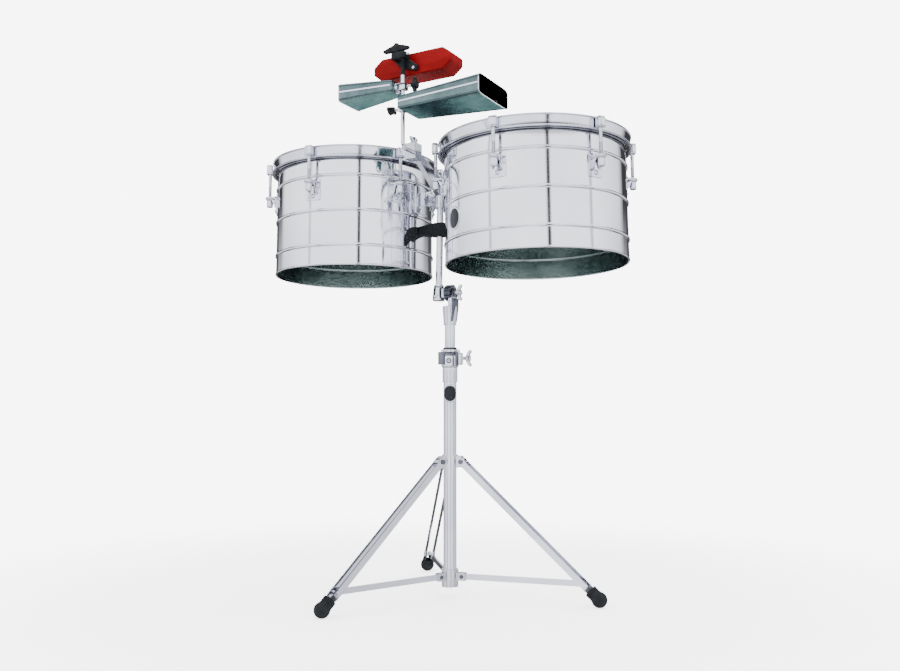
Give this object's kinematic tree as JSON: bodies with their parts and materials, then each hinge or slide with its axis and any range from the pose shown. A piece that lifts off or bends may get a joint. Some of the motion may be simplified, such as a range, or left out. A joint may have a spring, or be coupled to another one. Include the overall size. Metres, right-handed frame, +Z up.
{
  "type": "timbales",
  "caption": "Pair of steel-shelled timbales on a folding tripod stand, with cowbells and a block on a post.",
  "frame": {"origin": "centre of the object's plan box, on the floor", "axes": "+Z up, +X from the small drum to the large drum, +Y towards the player"},
  "size_m": [0.908, 0.6252, 1.2516],
  "materials": {
    "chrome": "polished",
    "polished_steel": "polished stainless",
    "bell_steel": "satin",
    "rubber": "matt",
    "black_plastic": "satin",
    "red_plastic": "satin",
    "badge": "gloss",
    "head_film": "coated film"
  },
  "bodies": {
    "stand": {"main_tube": "chrome", "lower_hub": "chrome", "hub_pins": "chrome", "clamp_sleeve": "chrome", "height_clamp": "chrome", "clamp_bolt": "chrome", "nylon_bush": "black_plastic", "stand_badge": "badge"},
    "collar": {"leg_collar": "chrome", "leg_pins": "chrome"},
    "collar_screw": {"collar_screw": "chrome"},
    "leg_1": {"leg_1": "chrome", "foot_1": "rubber"},
    "leg_2": {"leg_2": "chrome", "foot_2": "rubber"},
    "leg_3": {"leg_3": "chrome", "foot_3": "rubber"},
    "brace_1": {"brace_1": "chrome"},
    "brace_2": {"brace_2": "chrome"},
    "brace_3": {"brace_3": "chrome"},
    "clamp_screw": {"clamp_screw": "chrome"},
    "column": {"inner_tube": "chrome"},
    "tilter": {"tilter_base": "chrome"},
    "tilter_screw": {"tilter_screw": "chrome"},
    "mast": {"tilter_head": "chrome", "mast_tube": "chrome", "bumper": "rubber", "drum_holder": "chrome"},
    "left_drum": {"left_shell": "polished_steel", "left_head": "head_film", "left_hoop": "polished_steel", "left_lugs": "chrome", "left_claws": "chrome", "left_rods": "chrome", "left_nuts": "chrome", "left_mount": "chrome"},
    "right_drum": {"right_shell": "polished_steel", "right_head": "head_film", "right_hoop": "polished_steel", "right_lugs": "chrome", "right_claws": "chrome", "right_rods": "chrome", "right_nuts": "chrome", "right_mount": "chrome", "shell_badge": "badge"},
    "left_mount_screw": {"left_mount_screw": "chrome"},
    "right_mount_screw": {"right_mount_screw": "chrome"},
    "rod_clamp_screw": {"rod_clamp_screw": "chrome"},
    "bell_post": {"bell_rod": "chrome"},
    "large_bell": {"large_bell": "bell_steel", "large_bell_clamp": "chrome"},
    "large_bell_knob": {"large_bell_knob": "black_plastic"},
    "small_bell": {"small_bell": "bell_steel", "small_bell_clamp": "chrome"},
    "small_bell_knob": {"small_bell_knob": "black_plastic"},
    "block": {"block": "red_plastic", "block_clamp": "black_plastic"},
    "block_knob": {"block_knob": "black_plastic"}
  },
  "joints": [
    {"name": "leg_fold", "type": "slide", "parent": "stand", "child": "collar", "axis": [0, 0, 1], "range_m": [-0.157, 0]},
    {"name": "collar_screw_turn", "type": "hinge", "parent": "collar", "child": "collar_screw", "pos_m": [0.03038, 0.041, 0.308], "axis": [0.3584, 0.9336, 0], "range_deg": [-90, 0]},
    {"name": "leg_1_hinge", "type": "hinge", "parent": "collar", "child": "leg_1", "pos_m": [0.01425, -0.00101, 0.308], "axis": [0.9336, -0.3584, 0], "range_deg": [0, 38.04]},
    {"name": "brace_1_hinge", "type": "hinge", "parent": "stand", "child": "brace_1", "pos_m": [0.01425, -0.00101, 0.048], "axis": [0.9336, -0.3584, 0], "range_deg": [0, 77.65]},
    {"name": "leg_2_hinge", "type": "hinge", "parent": "collar", "child": "leg_2", "pos_m": [0.05463, 0.03169, 0.308], "axis": [-0.1564, 0.9877, 0], "range_deg": [0, 38.04]},
    {"name": "brace_2_hinge", "type": "hinge", "parent": "stand", "child": "brace_2", "pos_m": [0.05463, 0.03169, 0.048], "axis": [-0.1564, 0.9877, 0], "range_deg": [0, 77.65]},
    {"name": "leg_3_hinge", "type": "hinge", "parent": "collar", "child": "leg_3", "pos_m": [0.00612, 0.05031, 0.308], "axis": [-0.7771, -0.6293, 0], "range_deg": [0, 38.04]},
    {"name": "brace_3_hinge", "type": "hinge", "parent": "stand", "child": "brace_3", "pos_m": [0.00612, 0.05031, 0.048], "axis": [-0.7771, -0.6293, 0], "range_deg": [0, 77.65]},
    {"name": "clamp_screw_turn", "type": "hinge", "parent": "stand", "child": "clamp_screw", "pos_m": [0.04536, 0.02374, 0.545], "axis": [0.866, 0.5, 0], "continuous": true},
    {"name": "height", "type": "slide", "parent": "stand", "child": "column", "axis": [0, 0, 1], "range_m": [-0.04, 0.16]},
    {"name": "column_turn", "type": "hinge", "parent": "column", "child": "tilter", "pos_m": [0.025, 0.027, 0.64], "axis": [0, 0, 1], "continuous": true},
    {"name": "tilt", "type": "hinge", "parent": "tilter", "child": "mast", "pos_m": [0.025, 0.027, 0.697], "axis": [1, 0, 0], "range_deg": [-25, 25]},
    {"name": "tilter_screw_turn", "type": "hinge", "parent": "tilter", "child": "tilter_screw", "pos_m": [0.025, 0.027, 0.697], "axis": [1, 0, 0], "continuous": true},
    {"name": "left_drum_hang", "type": "hinge", "parent": "mast", "child": "left_drum", "pos_m": [-0.029, 0.03496, 0.92486], "axis": [0, 0.9994, -0.0349], "range_deg": [0, 10]},
    {"name": "left_mount_screw_turn", "type": "hinge", "parent": "mast", "child": "left_mount_screw", "pos_m": [-0.029, 0.03496, 0.92486], "axis": [0, 0.9994, -0.0349], "continuous": true},
    {"name": "right_drum_hang", "type": "hinge", "parent": "mast", "child": "right_drum", "pos_m": [0.019, 0.03496, 0.92486], "axis": [0, 0.9994, -0.0349], "range_deg": [-10, 0]},
    {"name": "right_mount_screw_turn", "type": "hinge", "parent": "mast", "child": "right_mount_screw", "pos_m": [0.019, 0.03496, 0.92486], "axis": [0, 0.9994, -0.0349], "continuous": true},
    {"name": "rod_clamp_screw_turn", "type": "hinge", "parent": "mast", "child": "rod_clamp_screw", "pos_m": [-0.005, -0.08924, 1.00725], "axis": [0, 0.0349, 0.9994], "continuous": true},
    {"name": "post_slide", "type": "slide", "parent": "mast", "child": "bell_post", "axis": [0, 0.9994, -0.0349], "range_m": [-0.03, 0.01]},
    {"name": "large_bell_swing", "type": "hinge", "parent": "bell_post", "child": "large_bell", "pos_m": [-0.00715, -0.13115, 1.09674], "axis": [-0.0244, 0.0349, 0.9991], "range_deg": [-40, 20]},
    {"name": "small_bell_swing", "type": "hinge", "parent": "bell_post", "child": "small_bell", "pos_m": [-0.00837, -0.1294, 1.14669], "axis": [-0.0244, 0.0349, 0.9991], "range_deg": [-20, 40]},
    {"name": "block_swing", "type": "hinge", "parent": "bell_post", "child": "block", "pos_m": [-0.00976, -0.12741, 1.20364], "axis": [-0.0244, 0.0349, 0.9991], "range_deg": [-40, 40]},
    {"name": "large_bell_knob_turn", "type": "hinge", "parent": "large_bell", "child": "large_bell_knob", "pos_m": [-0.01715, -0.13115, 1.09649], "axis": [0.9997, 0.0009, 0.0244], "continuous": true},
    {"name": "small_bell_knob_turn", "type": "hinge", "parent": "small_bell", "child": "small_bell_knob", "pos_m": [0.00163, -0.12939, 1.14694], "axis": [0.9997, 0.0009, 0.0244], "continuous": true},
    {"name": "block_knob_turn", "type": "hinge", "parent": "block", "child": "block_knob", "pos_m": [-0.02717, -0.12683, 1.22021], "axis": [-0.0244, 0.0349, 0.9991], "continuous": true}
  ],
  "couplings": [
    {"joint": "leg_1_hinge", "follows": "leg_fold", "rad_per_m": -4.2173},
    {"joint": "brace_1_hinge", "follows": "leg_fold", "rad_per_m": -8.6207},
    {"joint": "leg_2_hinge", "follows": "leg_fold", "rad_per_m": -4.2173},
    {"joint": "brace_2_hinge", "follows": "leg_fold", "rad_per_m": -8.6207},
    {"joint": "leg_3_hinge", "follows": "leg_fold", "rad_per_m": -4.2173},
    {"joint": "brace_3_hinge", "follows": "leg_fold", "rad_per_m": -8.6207}
  ]
}
